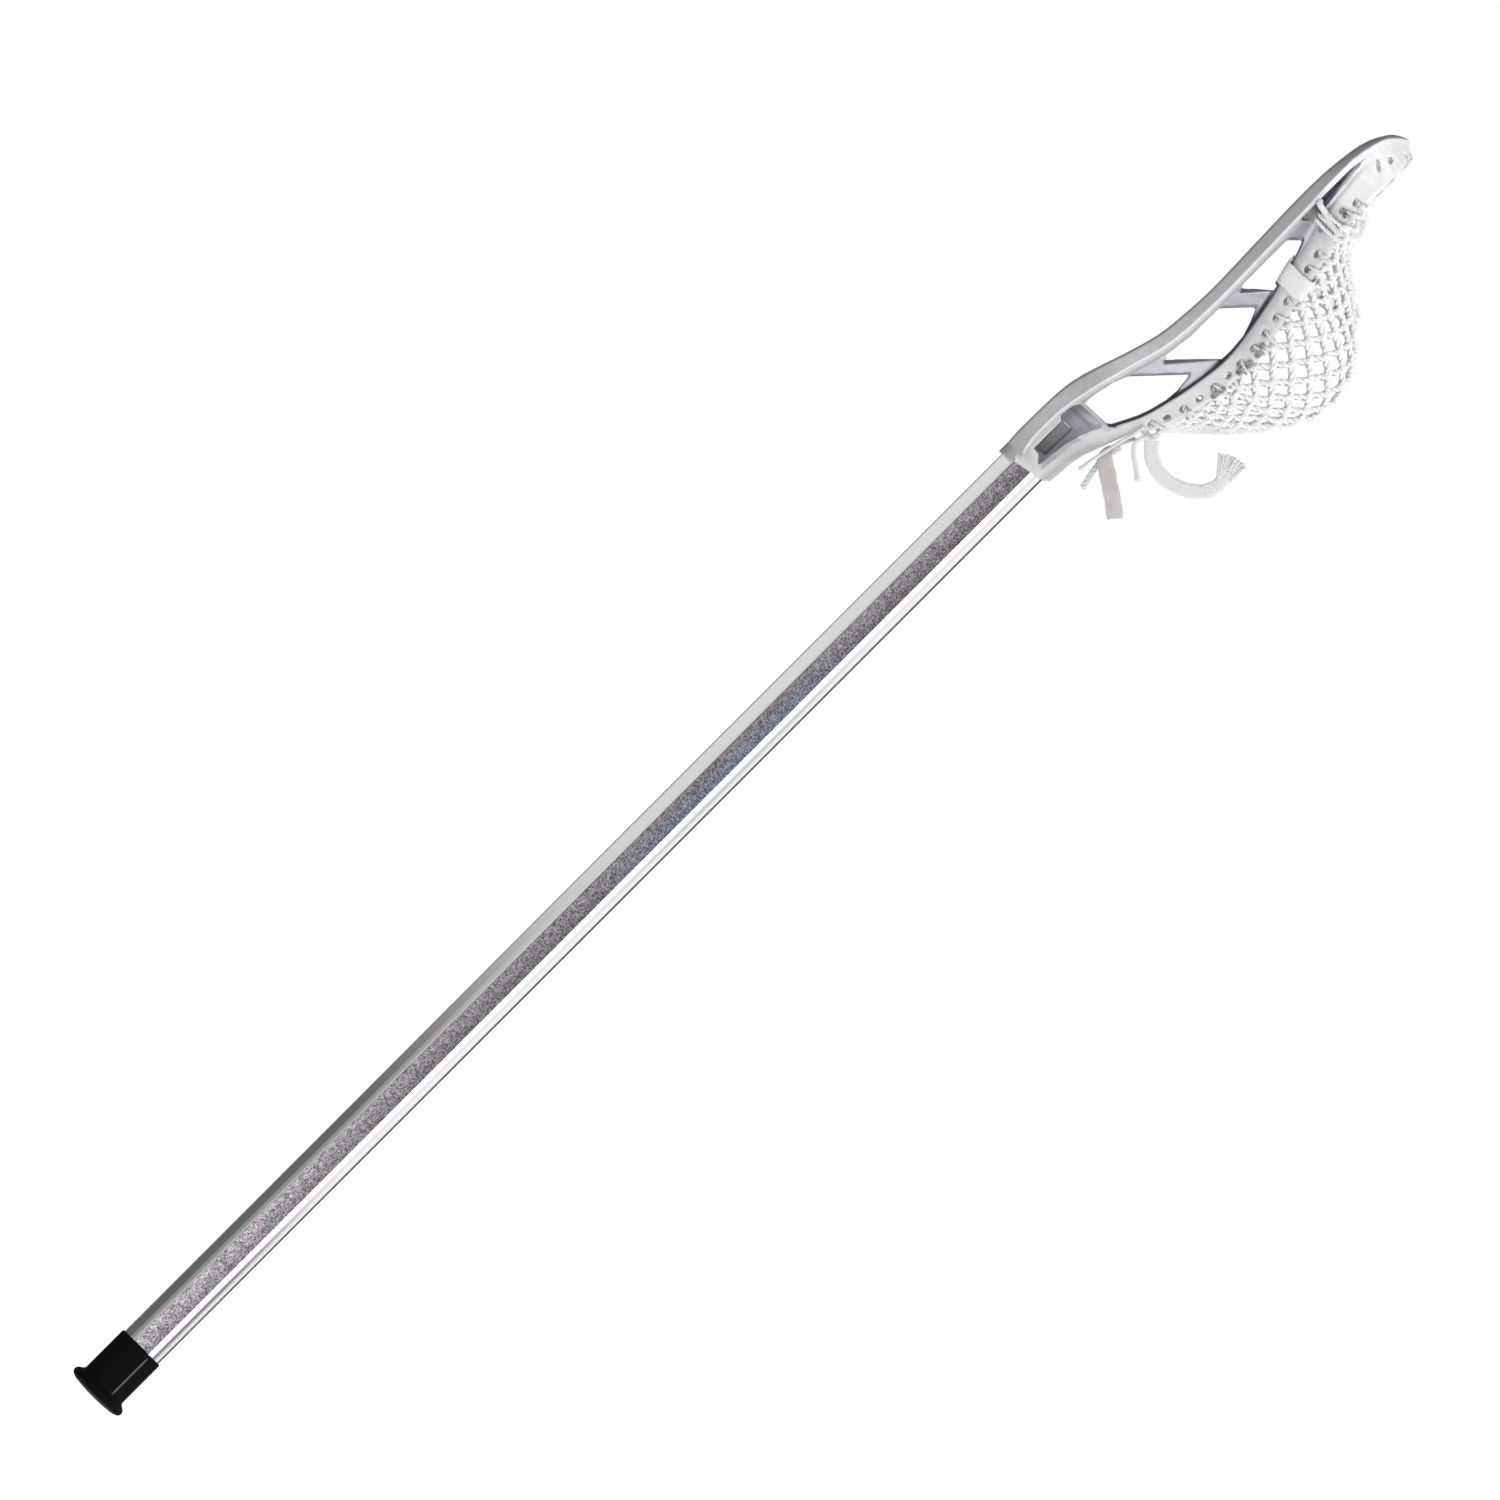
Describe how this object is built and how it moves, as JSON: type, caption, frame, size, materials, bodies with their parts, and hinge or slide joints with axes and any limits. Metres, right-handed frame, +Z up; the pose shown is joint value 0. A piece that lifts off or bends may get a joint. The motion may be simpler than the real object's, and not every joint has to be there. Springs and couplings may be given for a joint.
{
  "type": "lacrosse stick",
  "caption": "Field lacrosse stick: eight-sided aluminium shaft with a pull-off rubber butt cap and a moulded open head strung with a mesh pocket.",
  "frame": {"origin": "centre of the butt cap's bottom face, on the shaft axis", "axes": "+Z up the shaft to the scoop, +X across the head, +Y to the back of the head where the pocket hangs"},
  "size_m": [0.159, 0.1173, 1.0163],
  "materials": {
    "aluminium": "satin speckled anodised",
    "rubber": "matte black moulded rubber",
    "nylon": "smooth moulded nylon",
    "steel": "zinc-plated screw",
    "foam": "closed-cell foam",
    "cord": "knotted white nylon cord",
    "lace": "woven flat lace"
  },
  "bodies": {
    "stick": {"shaft_tube": "aluminium", "head_frame": "nylon", "head_screw": "steel", "ball_stop_pad": "foam", "pocket_mesh": "cord", "top_string": "cord", "sidewall_string_right": "cord", "sidewall_string_left": "cord", "bottom_string": "cord", "shooting_lace_upper": "lace", "shooting_lace_lower": "lace", "lower_lace_wrap_right": "lace", "lower_lace_wrap_left": "lace", "upper_lace_wrap_right": "cord", "upper_lace_wrap_left": "cord", "lace_knot_right": "cord", "lace_knot_left": "cord", "throat_lace_tail": "lace", "curled_lace_tail": "lace", "thin_tail": "cord", "short_thick_tail": "cord", "hanging_tail": "cord"},
    "butt_cap": {"end_cap": "rubber"}
  },
  "joints": [
    {"name": "end_cap_pull", "type": "slide", "parent": "stick", "child": "butt_cap", "axis": [0, 0, -1], "range_m": [0, 0.045]}
  ]
}
